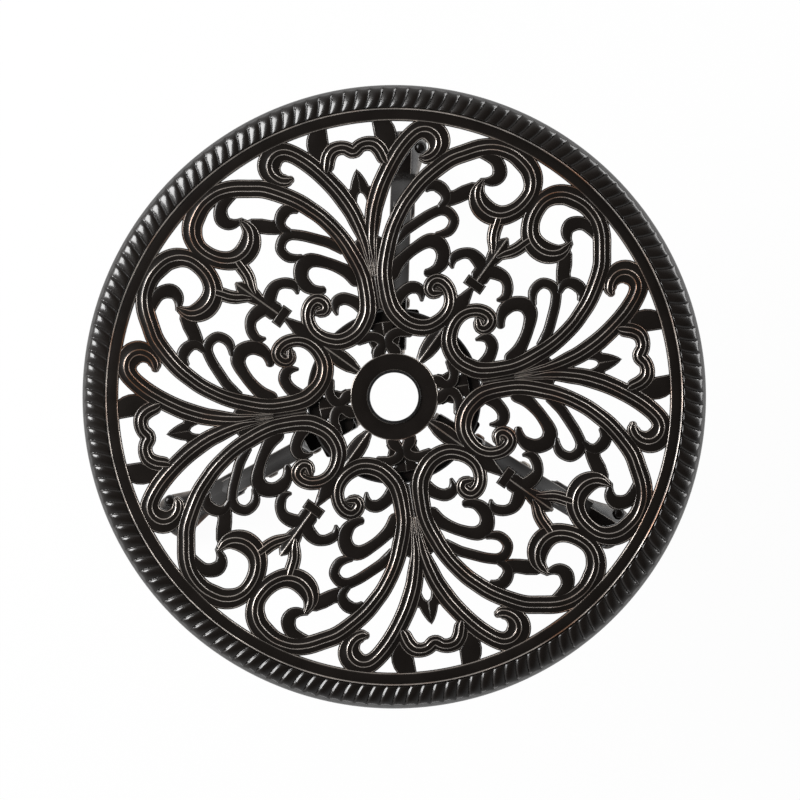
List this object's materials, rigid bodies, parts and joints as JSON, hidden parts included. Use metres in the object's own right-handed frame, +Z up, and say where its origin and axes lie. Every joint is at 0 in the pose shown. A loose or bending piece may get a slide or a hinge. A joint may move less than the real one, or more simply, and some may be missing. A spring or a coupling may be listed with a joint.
{
  "type": "garden table",
  "caption": "Round cast metal garden table with an openwork scroll top, a gadrooned rim, an umbrella hole and curved cast legs on levelling feet.",
  "frame": {"origin": "centre of the floor plane under the table, on the axis of the umbrella hole", "axes": "+Z up along the umbrella hole; the palmettes of the top lie on X and Y; the first leg is 79 degrees from +X towards +Y"},
  "size_m": [0.7999, 0.7999, 0.724],
  "materials": {
    "bronze_casting": "satin",
    "zinc_steel": "satin",
    "brass": "satin",
    "black_plastic": "matte"
  },
  "bodies": {
    "table": {"top_casting": "bronze_casting", "umbrella_ring": "black_plastic", "mounting_ring": "bronze_casting", "ring_screws": "zinc_steel", "ring_washers": "zinc_steel", "leg_1": "bronze_casting", "leg_2": "bronze_casting", "leg_3": "bronze_casting", "leg_bolts": "zinc_steel", "leg_washers": "zinc_steel", "brace_ring": "bronze_casting", "brace_bolts": "zinc_steel", "brace_washers": "zinc_steel", "foot_inserts": "brass", "foot_locknuts": "zinc_steel"},
    "foot_1": {"foot_stud_1": "zinc_steel", "foot_pad_1": "black_plastic"},
    "foot_2": {"foot_stud_2": "zinc_steel", "foot_pad_2": "black_plastic"},
    "foot_3": {"foot_stud_3": "zinc_steel", "foot_pad_3": "black_plastic"}
  },
  "joints": [
    {"name": "foot_1_level", "type": "slide", "parent": "table", "child": "foot_1", "axis": [0, 0, -1], "range_m": [0, 0.01]},
    {"name": "foot_2_level", "type": "slide", "parent": "table", "child": "foot_2", "axis": [0, 0, -1], "range_m": [0, 0.01]},
    {"name": "foot_3_level", "type": "slide", "parent": "table", "child": "foot_3", "axis": [0, 0, -1], "range_m": [0, 0.01]}
  ]
}
